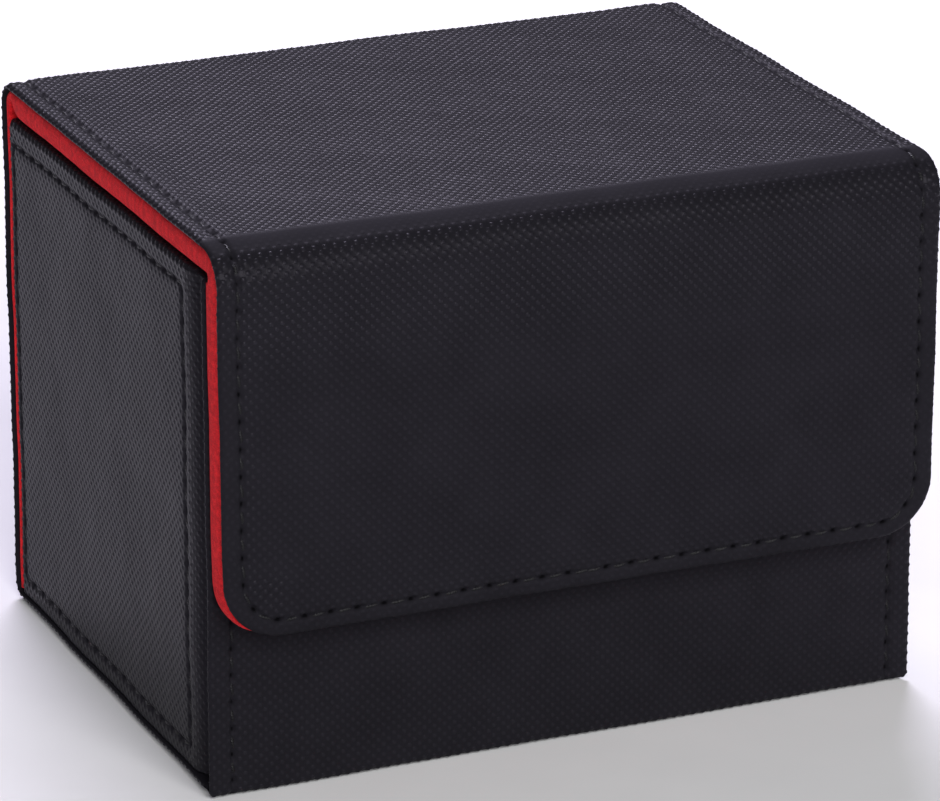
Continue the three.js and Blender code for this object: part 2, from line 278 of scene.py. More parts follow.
def leather_rings(along, seam, hem_relief=1.0, pull=HOLE):
    """The worked border of a wrap, from its flat over the seam and the rolled edge to its underside.
    Returns the inset from the edge, the depth under the face, the distance over the surface from the flat
    and the relief."""
    roll, drop = 1.0, 0.65  # width and depth of the rolled edge
    lip, lip_drop = 0.3, 0.18  # and of its turn to the underside
    hem_sink, sag_start = 0.2, 0.3  # how deep the hem lies, and where it begins to sink before the seam
    reach = 2.2  # of the seam's pull
    inset = CORNER - np.arange(0, CORNER - SEAM - FINE_REACH, ROW)
    inset = np.concatenate([inset, np.arange(inset[-1] - ROW / 2, roll + 0.1, -ROW / 2), [roll]])
    sag = np.clip((seam + sag_start - inset) / seam, 0, 1)
    hem = hem_sink * sag**2 * (3 - 2 * sag)
    dip = np.where(inset > SEAM + reach, 0, seam_dip(inset - seam, along, pull))
    depth = dip + hem
    relief = np.where(inset < seam, hem_relief, 1.0) * seam_relief(dip)
    rim = hem[-1]
    over = np.radians(np.arange(15, 91, 15))
    round_in, round_d = roll * (1 - np.sin(over)), rim + drop * (1 - np.cos(over))
    tuck = np.radians(np.arange(30, 91, 30))
    tuck_in, tuck_d = lip * (1 - np.cos(tuck)), rim + drop + lip_drop * np.sin(tuck)
    inset = np.concatenate([inset, round_in, tuck_in, [roll + lip, CORNER]])
    depth = np.concatenate([depth, round_d, tuck_d, [SHEET, SHEET]])
    relief = np.concatenate([relief, np.full(len(over), hem_relief), np.full(len(tuck) + 2, SMOOTH)])
    step = np.hypot(np.diff(inset), np.diff(depth))
    return inset, depth, np.concatenate([[0], np.cumsum(step)]), relief


def velvet_rings(outer, inner, edge, crown):
    """The border of a soft board: its face, a full round edge and its other face."""
    flat = 5.0  # inset up to which its faces are flat
    over = np.radians(np.arange(0, 181, 15))
    inset = np.concatenate([[CORNER, flat], edge + crown * (1 - np.sin(over)), [flat, CORNER]])
    middle, thick = (outer + inner) / 2, (inner - outer) / 2
    depth = np.concatenate([[outer, outer], middle - thick * np.cos(over), [inner, inner]])
    run = np.concatenate([[0], np.cumsum(np.hypot(np.diff(inset), np.diff(depth)))])
    return inset, depth, np.minimum(run, run[-1] - run), np.zeros(len(inset))


def wrap_shell(name, material, path, rings, faces, tongue=False, laid=0.0, relief=lambda s: 1.0):
    """A wide strip that follows path. rings(s, below) gives its border and faces(s) its two face depths.
    A tongue also has a border round its end, with two round corners. laid is how far along the whole wrap
    it starts, and relief(s) the share of the emboss on its face."""
    shell = Shell()
    stops = path.stops(laid)
    half = HALF - CORNER
    across = even(half, ROW if material is LEATHER else COARSE)

    def frame_at(s):
        y, z, ny, nz = path.at(s)
        return np.array([0, y, z]), np.array([0, ny, nz])

    def station(s, x, out, begin, below=None):
        """One line of the border, from the flat's edge outwards. out is a direction in the skin's plane.
        below says how much of the line belongs to the lower edge."""
        centre, normal = frame_at(s)
        down = np.array([0, -normal[2], normal[1]])
        inset, depth, over, relief = rings(begin, below)
        direction = np.array([out[0], 0, 0]) + out[1] * down
        point = centre + np.array([x, 0, 0])
        points = point + np.outer(CORNER - inset, direction) - np.outer(depth, normal)
        surface = np.array([x, laid + s]) + np.outer(over, out)
        return points, np.column_stack([surface, relief])

    borders = [[station(s, side * half, (side, 0), s) for s in stops] for side in (-1, 1)]
    if tongue:
        end = path.length
        quarter = np.radians(np.linspace(0, 90, 31))
        radius = CORNER - SEAM
        for side in (-1, 1):
            corner = []
            for a in quarter:
                out = (side * math.cos(a), math.sin(a))
                corner.append(station(end, side * half, out, end + a * radius, math.sin(a) ** 2))
            borders.append(corner)
        run = end + math.pi / 2 * radius
        borders.append([station(end, x, (0, 1), run + half - abs(x), 1.0) for x in across])
    for border in borders:
        shell.patch(np.array([b[0] for b in border]), np.array([b[1] for b in border]))
    for face, columns in ((0, across), (1, across if tongue else even(half, COARSE))):
        rows, flat = [], []
        ones = np.ones(len(columns))
        for s in stops:
            centre, normal = frame_at(s)
            base = centre - normal * faces(s)[face]
            share = SMOOTH if face else relief(s)
            rows.append(np.column_stack([columns, ones * base[Y], ones * base[Z]]))
            flat.append(np.column_stack([columns, ones * (laid + s), ones * share]))
        shell.patch(np.array(rows), np.array(flat))
    return shell.build(name, material)


# ---------------------------------------------------------------- pillows


def pillow(name, material, place, a, b, rolls, drops, seam_dips, walls, lines):
    """A panel with four rolled edges. place(a, b, depth) puts a point. rolls and drops are each edge's
    width and depth, in the order a low, a high, b low, b high. walls are rings behind it, as (inset a,
    inset b, depth), and lines are the mesh lines inside its edges."""
    # In each pair below, p is 0 on the flat and -1 or 1 at the rim, and q is the place where the flat ends
    shell = Shell()
    turn = np.sin(np.radians(np.linspace(0, 90, 9)))

    def axis_lines(low, high, roll_low, roll_high, inside):
        edge_low = [(low + roll_low, -t) for t in turn[:0:-1]]
        edge_high = [(high - roll_high, t) for t in turn[1:]]
        return edge_low + [(v, 0.0) for v in inside] + edge_high

    a_lines = axis_lines(*a, rolls[0], rolls[1], lines[0])
    b_lines = axis_lines(*b, rolls[2], rolls[3], lines[1])
    pa = np.array([p for _, p in a_lines])[:, None] + np.zeros(len(b_lines))
    pb = np.array([p for _, p in b_lines])[None, :] + np.zeros((len(a_lines), 1))
    qa = np.array([q for q, _ in a_lines])[:, None] + np.zeros(len(b_lines))
    qb = np.array([q for q, _ in b_lines])[None, :] + np.zeros((len(a_lines), 1))
    length = np.hypot(pa, pb)
    reach = np.maximum(np.abs(pa), np.abs(pb))
    shrink = np.where(length > 0, reach / np.maximum(length, 1e-9), 1)
    pa, pb = pa * shrink, pb * shrink
    ra = np.where(pa < 0, rolls[0], rolls[1])
    rb = np.where(pb < 0, rolls[2], rolls[3])
    da = np.where(pa < 0, drops[0], drops[1])
    db = np.where(pb < 0, drops[2], drops[3])
    total = np.maximum(pa**2 + pb**2, 1e-12)
    drop = (pa**2 * da + pb**2 * db) / total
    depth = drop * (1 - np.sqrt(np.clip(1 - reach**2, 0, 1)))
    aa, bb = qa + pa * ra, qb + pb * rb
    dips = seam_dips(aa, bb) * (reach < 0.95)  # none where an edge turns in
    depth = depth + dips
    over_a, over_b = (np.arcsin(np.clip(p, -1, 1)) * r for p, r in ((pa, ra), (pb, rb)))
    surface = np.stack([qa + over_a, qb + over_b, seam_relief(dips)], -1)
    shell.patch(place(aa, bb, depth), surface)

    def rim(grid):
        return np.concatenate([grid[:-1, 0], grid[-1, :-1], grid[:0:-1, -1], grid[0, :0:-1]])

    rings = [place(rim(aa), rim(bb), rim(depth))]
    flats = [np.column_stack([rim(surface[..., i]) for i in range(3)])]
    for inset_a, inset_b, at in walls:
        ring_a = rim(qa) + rim(pa) * (rim(ra) - inset_a)
        ring_b = rim(qb) + rim(pb) * (rim(rb) - inset_b)
        rings.append(place(ring_a, ring_b, np.full(len(ring_a), float(at))))
        out = np.column_stack([rim(pa) * at, rim(pb) * at, np.zeros(len(ring_a))])
        flats.append(np.where([True, True, False], flats[0] + out, SMOOTH))
    shell.patch(np.array(rings), np.array(flats), closed=True)
    return shell.build(name, material)


def slab(name, material, place, outline, thickness, edge=0.25):
    """A flat board with a rounded rim. outline is its corners as (a, b, radius), anticlockwise."""
    ring, normals = [], []
    count = len(outline)
    for i, (a, b, radius) in enumerate(outline):
        before, after = np.array(outline[i - 1][:2]), np.array(outline[(i + 1) % count][:2])
        here = np.array([a, b])
        u, v = here - before, after - here
        u, v = u / np.linalg.norm(u), v / np.linalg.norm(v)
        centre = here - u * radius + v * radius
        steps = 9 if radius > 2 else 4
        for t in np.radians(np.linspace(0, 90, steps)):
            out = u * math.sin(t) - v * math.cos(t)
            ring.append(centre + out * radius)
            normals.append(out)
    ring, normals = np.array(ring), np.array(normals)
    over = np.radians(np.linspace(0, 180, 9))
    shell = Shell()
    rings, flats = [], []
    for t in over:
        at = ring - normals * edge * (1 - math.sin(t))
        rings.append(place(at[:, 0], at[:, 1], np.full(len(at), thickness / 2 * (1 - math.cos(t)))))
        flats.append(np.column_stack([at + normals * t, np.zeros(len(at))]))
    shell.patch(np.array(rings), np.array(flats), closed=True)
    return shell.build(name, material)


# ---------------------------------------------------------------- stitches

THREAD = 0.27  # radius
STITCH_SHARE = 0.74  # of the pitch that shows between two holes
STITCH_TOP, STITCH_DIVE = 0.36, 0.62  # depth of the thread's middle at its top, and how far it dives
STITCH_SLANT = 0.2  # of each end to the side
STITCH_ENDS = 0.55  # share of the radius that is left where the thread goes into its hole
PLY, PLY_TWIST = 0.12, 9.0  # waist between the two plies, and their twist over one stitch in radians


def stitches(name, material, seam_at, starts):
    """Thread along a seam. seam_at(s) gives a point on the skin's face, its normal and the way ahead."""
    points, faces, surface = [], [], []
    sides, steps = 8, 11
    for start in starts:
        base = len(points)
        for i in range(steps):
            t = i / (steps - 1)
            s = start + PITCH * (0.5 + (1 - STITCH_SHARE) / 2 + STITCH_SHARE * t)
            point, normal, along = seam_at(s)
            side = np.cross(normal, along)
            arch = math.sin(math.pi * t)
            low = STITCH_TOP + STITCH_DIVE * (1 - arch**0.55)
            centre = point - normal * low + side * STITCH_SLANT * (2 * t - 1)
            for j in range(sides):
                angle = 2 * math.pi * j / sides
                ply = 1 + PLY * math.cos(2 * angle + PLY_TWIST * t)
                r = THREAD * ply * (STITCH_ENDS + (1 - STITCH_ENDS) * arch**0.5)
                points.append(centre + (normal * math.sin(angle) + side * math.cos(angle)) * r)
                surface.append((s, angle * THREAD, 0))
        for i in range(steps - 1):
            for j in range(sides):
                here, right = base + i * sides + j, base + i * sides + (j + 1) % sides
                faces.append((here, right, right + sides, here + sides))
        faces.append(tuple(range(base, base + sides))[::-1])
        faces.append(tuple(range(base + (steps - 1) * sides, base + steps * sides)))
    mesh = bpy.data.meshes.new(name)
    mesh.from_pydata(waver(np.array(points)) * MM, [], faces)
    layer = mesh.attributes.new("surface", "FLOAT_VECTOR", "POINT")
    layer.data.foreach_set("vector", np.array(surface, float).ravel())
    mesh.polygons.foreach_set("use_smooth", [True] * len(mesh.polygons))
    mesh.materials.append(material)
    obj = bpy.data.objects.new(name, mesh)
    bpy.context.scene.collection.objects.link(obj)
    return obj


def wrap_seam(path, side):
    """The seam along one side edge of a wrap."""

    def seam_at(s):
        y, z, ny, nz = path.at(min(s, path.length))
        normal = np.array([0, ny, nz])
        return np.array([side * (HALF - SEAM), y, z]), normal, np.array([0, -nz, ny])

    return seam_at


def flap_seam(path, side):
    """From the lid down one side of the flap and round its corner to the middle of the lower edge."""
    radius, half = CORNER - SEAM, HALF - CORNER
    end = path.length
    turn = math.pi / 2 * radius

    def seam_at(s):
        if s <= end:
            return wrap_seam(path, side)(s)
        y, z, ny, nz = path.at(end)
        normal, down = np.array([0, ny, nz]), np.array([0, -nz, ny])
        right = np.array([side, 0, 0])
        centre = np.array([side * half, y, z])
        if s <= end + turn:
            a = (s - end) / radius
            reach = CORNER - SEAM + (SEAM - HEM_SEAM) * math.sin(a) ** 2
            point = centre + (right * math.cos(a) + down * math.sin(a)) * reach
            return point, normal, down * math.cos(a) - right * math.sin(a)
        run = s - end - turn
        return centre - right * run + down * (CORNER - HEM_SEAM), normal, -right

    return seam_at, end + turn + half


# ---------------------------------------------------------------- materials


class Nodes:
    """A short way to write node trees."""

    def __init__(self, name):
        self.material = bpy.data.materials.new(name)
        self.material.use_nodes = True
        self.tree = self.material.node_tree
        self.tree.nodes.clear()
        output = self.tree.nodes.new("ShaderNodeOutputMaterial")
        self.shader = self.tree.nodes.new("ShaderNodeBsdfPrincipled")
        self.tree.links.new(self.shader.outputs[0], output.inputs[0])

    def put(self, socket, value):
        if isinstance(value, bpy.types.NodeSocket):
            self.tree.links.new(value, socket)
        else:
            socket.default_value = value

    def node(self, kind, output=0, settings=None, **inputs):
        made = self.tree.nodes.new(kind)
        for key, value in (settings or {}).items():
            setattr(made, key, value)
        for key, value in inputs.items():
            socket = made.inputs[int(key[1:])] if key[1:].isdigit() else made.inputs[key.replace("_", " ")]
            self.put(socket, value)
        return made.outputs[output]

    def math(self, operation, a, b=0.0):
        return self.node("ShaderNodeMath", settings={"operation": operation}, i0=a, i1=b)

    def ramp(self, value, *stops):
        made = self.tree.nodes.new("ShaderNodeValToRGB")
        elements = made.color_ramp.elements
        while len(elements) < len(stops):
            elements.new(0.5)
        for element, (at, color) in zip(elements, stops):
            element.position = at
            element.color = (*color, 1) if isinstance(color, tuple) else (color, color, color, 1)
        self.put(made.inputs[0], value)
        return made.outputs[0]

    def surface(self):
        return self.node("ShaderNodeAttribute", 1, {"attribute_name": "surface"})

    def noise(self, vector, scale, detail, roughness):
        kind = "ShaderNodeTexNoise"
        return self.node(kind, 0, None, Vector=vector, Scale=scale, Detail=detail, Roughness=roughness)

    def bump(self, height, distance, strength):
        depth = distance * MM
        return self.node("ShaderNodeBump", 0, None, Height=height, Distance=depth, Strength=strength)

    def finish(self, **inputs):
        for key, value in inputs.items():
            self.put(self.shader.inputs[key.replace("_", " ")], value)
        return self.material


def lattice(n, where):
    """The staggered lattice of the emboss, 1 on a bump and 0 between."""
    split = n.node("ShaderNodeSeparateXYZ", 0, None, Vector=where)
    u, v = split.node.outputs[0], split.node.outputs[1]
    turn = 2 * math.pi / EMBOSS
    waves = [n.math("COSINE", n.math("MULTIPLY", w, turn)) for w in (u, v)]
    product = n.math("MULTIPLY", *waves)
    smooth = {"interpolation_type": "SMOOTHSTEP"}
    return n.node("ShaderNodeMapRange", 0, smooth, i0=product, i1=0.0, i2=0.95, i3=0.0, i4=1.0)


def leather():
    n = Nodes("embossed_leatherette")
    where = n.surface()
    swirl = n.node("ShaderNodeTexNoise", 1, None, Vector=where, Scale=0.35, Detail=2.0)
    warp = n.node("ShaderNodeVectorMath", 0, {"operation": "SCALE"}, i0=swirl, Scale=0.16)
    moved = n.node("ShaderNodeVectorMath", 0, {"operation": "ADD"}, i0=where, i1=warp)
    relief = n.node("ShaderNodeSeparateXYZ", 2, None, Vector=where)
    bumps = n.math("MULTIPLY", lattice(n, moved), relief)
    grain = n.noise(where, 5.5, 4.0, 0.62)
    patches = n.noise(where, 0.09, 3.0, 0.6)
    uneven = n.noise(where, 0.7, 2.0, 0.5)
    crests = n.math("MULTIPLY", bumps, n.math("ADD", 0.72, n.math("MULTIPLY", uneven, 0.5)))
    height = n.math("ADD", crests, n.math("MULTIPLY", grain, 0.16))
    tone = n.math("ADD", 0.15, n.math("MULTIPLY", patches, 0.38))
    tone = n.math("ADD", n.math("MULTIPLY", bumps, 0.25), tone)
    # painted shade: the colour goes darker where the relief is low, in the seam's groove and needle holes
    painted_seam_shade = n.node("ShaderNodeMapRange", 0, None, i0=relief, i1=0.05, i2=SMOOTH, i3=0.0, i4=1.0)
    tone = n.math("MULTIPLY", tone, painted_seam_shade)
    color = n.ramp(
        tone,
        (0.0, (0.0012, 0.0011, 0.0014)),
        (0.15, (0.0064, 0.0060, 0.0076)),
        (0.9, (0.0165, 0.0155, 0.0198)),
    )
    shine = n.math("SUBTRACT", 0.28, n.math("MULTIPLY", bumps, 0.05))
    shine = n.math("ADD", shine, n.math("MULTIPLY", grain, 0.1))
    worn = n.math("MAXIMUM", n.math("SUBTRACT", 1.0, relief), 0.0)
    shine = n.math("ADD", shine, n.math("MULTIPLY", worn, 0.6))
    return n.finish(
        Base_Color=color,
        Roughness=shine,
        Normal=n.bump(height, 0.06, 1.0),
        Specular_IOR_Level=0.055,
        Specular_Tint=(0.92, 0.86, 1.0, 1.0),
    )


def velvet():
    n = Nodes("red_microfibre")
    where = n.surface()
    nap = n.noise(where, 0.9, 5.0, 0.7)
    fibre = n.noise(where, 5.0, 5.0, 0.75)
    tone = n.math("ADD", n.math("MULTIPLY", nap, 0.5), n.math("MULTIPLY", fibre, 0.5))
    color = n.ramp(
        tone,
        (0.38, (0.33, 0.002, 0.005)),
        (0.5, (0.62, 0.007, 0.012)),
        (0.61, (0.86, 0.022, 0.028)),
    )
    tufts = n.noise(where, 2.2, 4.0, 0.7)
    height = n.math("ADD", n.math("MULTIPLY", fibre, 0.5), n.math("MULTIPLY", tufts, 0.5))
    return n.finish(
        Base_Color=color,
        Roughness=0.95,
        Normal=n.bump(height, 0.4, 1.0),
        Specular_IOR_Level=0.1,
        Sheen_Weight=0.2,
        Sheen_Roughness=0.45,
        Sheen_Tint=(1.0, 0.30, 0.32, 1.0),
    )


def thread():
    n = Nodes("black_thread")
    where = n.surface()
    diagonal = {"bands_direction": "DIAGONAL"}
    ply = n.node("ShaderNodeTexWave", 1, diagonal, Vector=where, Scale=1.6, Distortion=0.6, Detail=2.0)
    fuzz = n.noise(where, 6.0, 3.0, 0.6)
    tone = n.math("ADD", n.math("MULTIPLY", ply, 0.5), n.math("MULTIPLY", fuzz, 0.5))
    color = n.ramp(tone, (0.25, (0.002, 0.002, 0.0025)), (0.85, (0.008, 0.0076, 0.009)))
    return n.finish(
        Base_Color=color,
        Roughness=0.45,
        Normal=n.bump(n.math("ADD", ply, fuzz), 0.06, 0.8),
        Specular_IOR_Level=0.25,
    )


def greyboard():
    n = Nodes("greyboard")
    where = n.node("ShaderNodeTexCoord", 3)
    fleck = n.noise(where, 900.0, 4.0, 0.6)
    layers = n.noise(where, 160.0, 3.0, 0.7)
    tone = n.math("ADD", n.math("MULTIPLY", fleck, 0.6), n.math("MULTIPLY", layers, 0.4))
    color = n.ramp(tone, (0.3, (0.20, 0.19, 0.17)), (0.7, (0.33, 0.32, 0.29)))
    return n.finish(
        Base_Color=color,
        Roughness=0.92,
        Normal=n.bump(fleck, 0.1, 0.6),
        Specular_IOR_Level=0.2,
    )


def magnet():
    n = Nodes("nickel_plate")
    where = n.node("ShaderNodeTexCoord", 3)
    smear = n.noise(where, 220.0, 4.0, 0.6)
    color = n.ramp(smear, (0.3, (0.52, 0.52, 0.53)), (0.7, (0.68, 0.68, 0.69)))
    shine = n.math("ADD", 0.22, n.math("MULTIPLY", smear, 0.2))
    return n.finish(Base_Color=color, Metallic=1.0, Roughness=shine, Normal=n.bump(smear, 0.02, 0.4))


LEATHER, VELVET, COTTON = leather(), velvet(), thread()
BOARD, METAL = greyboard(), magnet()

# ---------------------------------------------------------------- the wrap


def fold_blend(piece):
    """Bakes the piece's placement into its mesh. It does not bend the piece over a fold."""
    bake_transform(piece)


def plain_border(along, _below):
    return leather_rings(along, SEAM)


WORN, WORN_AT, WORN_REACH = 0.75, 1.2, 2.4  # share of the emboss lost where the flap's fold begins
TAUT, TAUT_AT, TAUT_REACH = 0.7, 13.0, 7.0  # share that it gains where the skin is stretched below the fold
FLAP_HEM = 0.6  # share of the emboss left on the flap's hem
LOWER_PULL = 0.2  # how much tighter its lower seam is pulled
FOLD_REACH = 10.0  # from the fold's beginning to the flat flap


def pressed(along):
    """Share of the emboss along the flap's piece, which begins on the lid."""
    past = along - JOINT
    worn = WORN * math.exp(-(((past - WORN_AT) / WORN_REACH) ** 4))
    taut = TAUT * math.exp(-(((past - TAUT_AT) / TAUT_REACH) ** 2))
    return 1 - worn + taut * (1 - worn)


def flap_border(along, below):
    hem = FLAP_HEM if along > JOINT + FOLD_REACH else 1.0
    below = below or 0.0
    seam = SEAM - (SEAM - HEM_SEAM) * below
    inset, depth, over, relief = leather_rings(along, seam, hem, DEEP_HOLE * (1 + LOWER_PULL * below))
    return inset, depth, over, relief * pressed(along)


SKIN_FACES = (0.0, SHEET)
LID_RUN = REAR_HINGE[0] - FRONT_HINGE[0] - JOINT  # flat of the lid that belongs to the back's piece

base_path = Path(FRONT_IN, 0, 0).straight(BASE_JOINT - FRONT_IN)
back_path = Path(BASE_JOINT, 0, 0).straight(BACK - BASE_FOLD - BASE_JOINT).bend(BASE_FOLD)
back_path.straight(REAR_HINGE[1] - BASE_FOLD).bend(REAR_FOLD).straight(LID_RUN)
flap_path = Path(FRONT_HINGE[0] + JOINT, TOP, 180).straight(JOINT).bend(FRONT_FOLD)
flap_path.straight(FRONT_HINGE[1] - FLAP_BOTTOM - CORNER)

base = wrap_shell("base_leather", LEATHER, base_path, plain_border, lambda s: SKIN_FACES)
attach(base, "case")
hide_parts("base_cover")

back = wrap_shell("back_and_lid_leather", LEATHER, back_path, plain_border, lambda s: SKIN_FACES)
fold_blend(back)
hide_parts("back_cover", "rear_hinge_strip", "lid_cover")

flap = wrap_shell(
    "flap_leather",
    LEATHER,
    flap_path,
    flap_border,
    lambda s: SKIN_FACES,
    tongue=True,
    laid=back_path.length,
    relief=pressed,
)
fold_blend(flap)
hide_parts("front_hinge_strip", "flap_cover")

# ---------------------------------------------------------------- front and side panels

FRONT_ROLLS, FRONT_DROPS = (0.6, 0.6, 0.9, 1.1), (0.45, 0.45, 0.6, 0.8)  # left, right, bottom and top
FRONT_SEAM = 3.5  # seam to the side edges
FRONT_THICK = FRONT_IN - FRONT
FRONT_WALLS = [(0.7, 0.1, 1.5), (0.9, 0, 1.7), (0.9, 0, FRONT_THICK), (1.2, 0.4, FRONT_THICK + 0.4)]
front_lines = (
    emboss_lines(FRONT_ROLLS[0] - HALF, HALF - FRONT_ROLLS[1], (FRONT_SEAM - HALF, HALF - FRONT_SEAM)),
    emboss_lines(FRONT_ROLLS[2], WALL_TOP - FRONT_ROLLS[3]),
)


def front_dips(a, b):
    return seam_dip(HALF - FRONT_SEAM - np.abs(a), b, DEEP_HOLE)


front = pillow(
    "front_leather",
    LEATHER,
    lambda a, b, depth: np.stack([a, FRONT + depth, b], -1),
    (-HALF, HALF),
    (0, WALL_TOP),
    FRONT_ROLLS,
    FRONT_DROPS,
    front_dips,
    FRONT_WALLS,
    front_lines,
)
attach(front, "case")
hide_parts("front_cover")

SIDE_FRONT, SIDE_REAR = span("right_side_cover", Y)
SIDE_BOTTOM, SIDE_TOP = span("right_side_cover", Z)
SIDE_Y = (SIDE_FRONT + 0.5, SIDE_REAR + 0.3)  # from just behind the front wall to the back's lining
SIDE_Z = (SIDE_BOTTOM - 0.4, SIDE_TOP)  # down to just above the base's edge
SIDE_THICK = SIDE - SIDE_IN
SIDE_WALLS = [(0, 0, SIDE_THICK - 0.4), (0.4, 0.4, SIDE_THICK)]
SIDE_ROLLS, SIDE_DROPS = (5.4, 0.9, 0.8, 1.0), (3.0, 0.8, 0.4, 0.9)  # the front edge sinks into a groove
SIDE_SEAM = {"front": 5.9, "rear": 1.8, "top": 3.4, "bottom": 3.1}  # seam to each edge
SEAM_TURN = 1.2  # radius of the seam's corners
SEAM_Y = (SIDE_Y[0] + SIDE_SEAM["front"], SIDE_Y[1] - SIDE_SEAM["rear"])
SEAM_Z = (SIDE_Z[0] + SIDE_SEAM["bottom"], SIDE_Z[1] - SIDE_SEAM["top"])


def seam_loop():
    """The side panel's seam as points with their distance along it."""
    (near, far), (bottom, top) = SEAM_Y, SEAM_Z
    middle = np.array([near + far, bottom + top]) / 2
    points = []
    for y, z, start in ((far, bottom, -90), (far, top, 0), (near, top, 90), (near, bottom, 180)):
        corner = np.array([y, z])
        centre = corner + SEAM_TURN * np.sign(middle - corner)
        for angle in np.radians(np.linspace(start, start + 90, 7)):
            points.append(centre + SEAM_TURN * np.array([math.cos(angle), math.sin(angle)]))
    points = np.array([*points, points[0]])
    run = np.concatenate([[0], np.cumsum(np.hypot(*np.diff(points, axis=0).T))])
    count = round(run[-1] / PITCH)
    return points, run * (count * PITCH / run[-1]), count


LOOP, LOOP_RUN, LOOP_COUNT = seam_loop()
LOOP_STEPS = 1600  # of about 0.2 mm
SEAM_REACH = 2.6  # width of the skin that a seam pulls at, on each side
BATCH = 4000  # points measured at a time
FINE_LOOP_RUN = np.linspace(0, LOOP_RUN[-1], LOOP_STEPS)
FINE_LOOP = np.column_stack([np.interp(FINE_LOOP_RUN, LOOP_RUN, LOOP[:, i]) for i in (0, 1)])


def side_dips(a, b):
    points = np.column_stack([a.ravel(), b.ravel()])
    off, along = np.zeros(len(points)), np.zeros(len(points))
    for i in range(0, len(points), BATCH):
        gap = np.hypot(*(points[i : i + BATCH, None, :] - FINE_LOOP[None]).transpose(2, 0, 1))
        near = gap.argmin(1)
        off[i : i + BATCH] = gap[np.arange(len(near)), near]
        along[i : i + BATCH] = FINE_LOOP_RUN[near]
    return np.where(off < SEAM_REACH, seam_dip(off, along), 0).reshape(a.shape)


def loop_point(run):
    """(y, z) at a distance along the side panel's seam."""
    return np.array([np.interp(run % LOOP_RUN[-1], LOOP_RUN, LOOP[:, i]) for i in (0, 1)])


def side_panel(name, sign):
    lines = (
        emboss_lines(SIDE_Y[0] + SIDE_ROLLS[0], SIDE_Y[1] - SIDE_ROLLS[1], SEAM_Y),
        emboss_lines(SIDE_Z[0] + SIDE_ROLLS[2], SIDE_Z[1] - SIDE_ROLLS[3], SEAM_Z),
    )
    panel = pillow(
        f"{name}_side_leather",
        LEATHER,
        lambda a, b, depth: np.stack([sign * (SIDE - depth), a, b], -1),
        SIDE_Y,
        SIDE_Z,
        SIDE_ROLLS,
        SIDE_DROPS,
        side_dips,
        SIDE_WALLS,
        lines,
    )
    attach(panel, "case")
    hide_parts(f"{name}_side_cover")

    def seam_at(s):
        at = loop_point(s)
        way = loop_point(s + 0.2) - at
        way = way / max(np.hypot(*way), 1e-9)
        return np.array([sign * SIDE, *at]), np.array([sign, 0, 0]), np.array([0, *way])

    seam = stitches(f"{name}_side_stitches", COTTON, seam_at, [PITCH * k for k in range(LOOP_COUNT)])
    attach(seam, "case")
    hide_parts(f"{name}_side_stitching")
    return panel, seam


side_panels, side_seams = zip(*(side_panel(name, sign) for name, sign in SIDES))

# ---------------------------------------------------------------- seams of the wrap


def runs(start, stop):
    """Starts of the whole stitches between two distances along a seam."""
    first = math.ceil(start / PITCH - 0.5 - 1e-6)
    return [PITCH * k for k in range(first, math.floor(stop / PITCH - 1.5 + 1e-6) + 1)]


def front_seam(side):
    def seam_at(s):
        point = np.array([side * (HALF - FRONT_SEAM), FRONT, s])
        return point, np.array([0, -1, 0]), np.array([0, 0, 1])

    return seam_at


seams = []
for side, sign in SIDES:
    made = stitches(f"front_{side}_stitches", COTTON, front_seam(sign), runs(0.5, WALL_TOP - 0.5))
    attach(made, "case")
    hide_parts(f"front_{side}_stitching")
    seams.append(made)
    made = stitches(f"base_{side}_stitches", COTTON, wrap_seam(base_path, sign), runs(0, base_path.length))
    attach(made, "case")
    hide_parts(f"base_{side}_stitching")
    seams.append(made)
    starts = runs(0, back_path.length)
    made = stitches(f"back_and_lid_{side}_stitches", COTTON, wrap_seam(back_path, sign), starts)
    fold_blend(made)
    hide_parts(f"back_{side}_stitching", f"lid_{side}_stitching")
    seams.append(made)
    seam_at, length = flap_seam(flap_path, sign)
    made = stitches(f"flap_{side}_stitches", COTTON, seam_at, runs(0, length + PITCH / 2))
    fold_blend(made)
    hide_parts("flap_stitching")
    seams.append(made)

# ---------------------------------------------------------------- linings

# Depths under the wrap's face
BACK_DEPTH = BACK - REAR_IN
FLAP_DEPTH = FLAP_BACK - FLAP_FACE
LID_DEPTH = TOP - LID_UNDER - 0.5  # just clear of the walls
SLOT = REAR_FOLD - 0.9  # crease of the lining at the rear fold
BOARD_START, BOARD_ROUND = 0.5, 1.8  # where the lid's board begins past the fold, and its edge's round
EDGE = 0.3  # inset of a lining's edge from the wrap's

FOLD_START = REAR_HINGE[1] - WRAP - 0.4
FOLD_END = FOLD_START + math.pi / 2 * REAR_FOLD
back_lining_path = Path(BACK, WRAP + 0.4, 90).straight(FOLD_START).bend(REAR_FOLD).straight(LID_RUN)


def back_lining_depth(s):
    """The lining is thin behind the back, creases at the fold, and is the lid's whole board beyond it."""
    if s < FOLD_START:
        return BACK_DEPTH
    if s < FOLD_END:
        return BACK_DEPTH + (SLOT - BACK_DEPTH) * (s - FOLD_START) / (FOLD_END - FOLD_START)
    out = min(max(s - FOLD_END - BOARD_START, 0) / BOARD_ROUND, 1)
    return SLOT + (LID_DEPTH - SLOT) * math.sqrt(1 - (1 - out) ** 2)


def flap_lining_depth(s):
    out = min(max((s - JOINT) / (math.pi / 2 * FRONT_FOLD), 0), 1)
    return LID_DEPTH + (FLAP_DEPTH - LID_DEPTH) * out


def back_lining_border(s, _below):
    """The lining's rim lies deeper in behind the back than under the lid, and is less round there."""
    out = min(max((s - FOLD_START) / (FOLD_END - FOLD_START), 0), 1)
    inset, crown = EDGE + 0.15 * (1 - out), 0.5 + 0.4 * out
    return velvet_rings(SHEET, back_lining_depth(s), inset, crown)


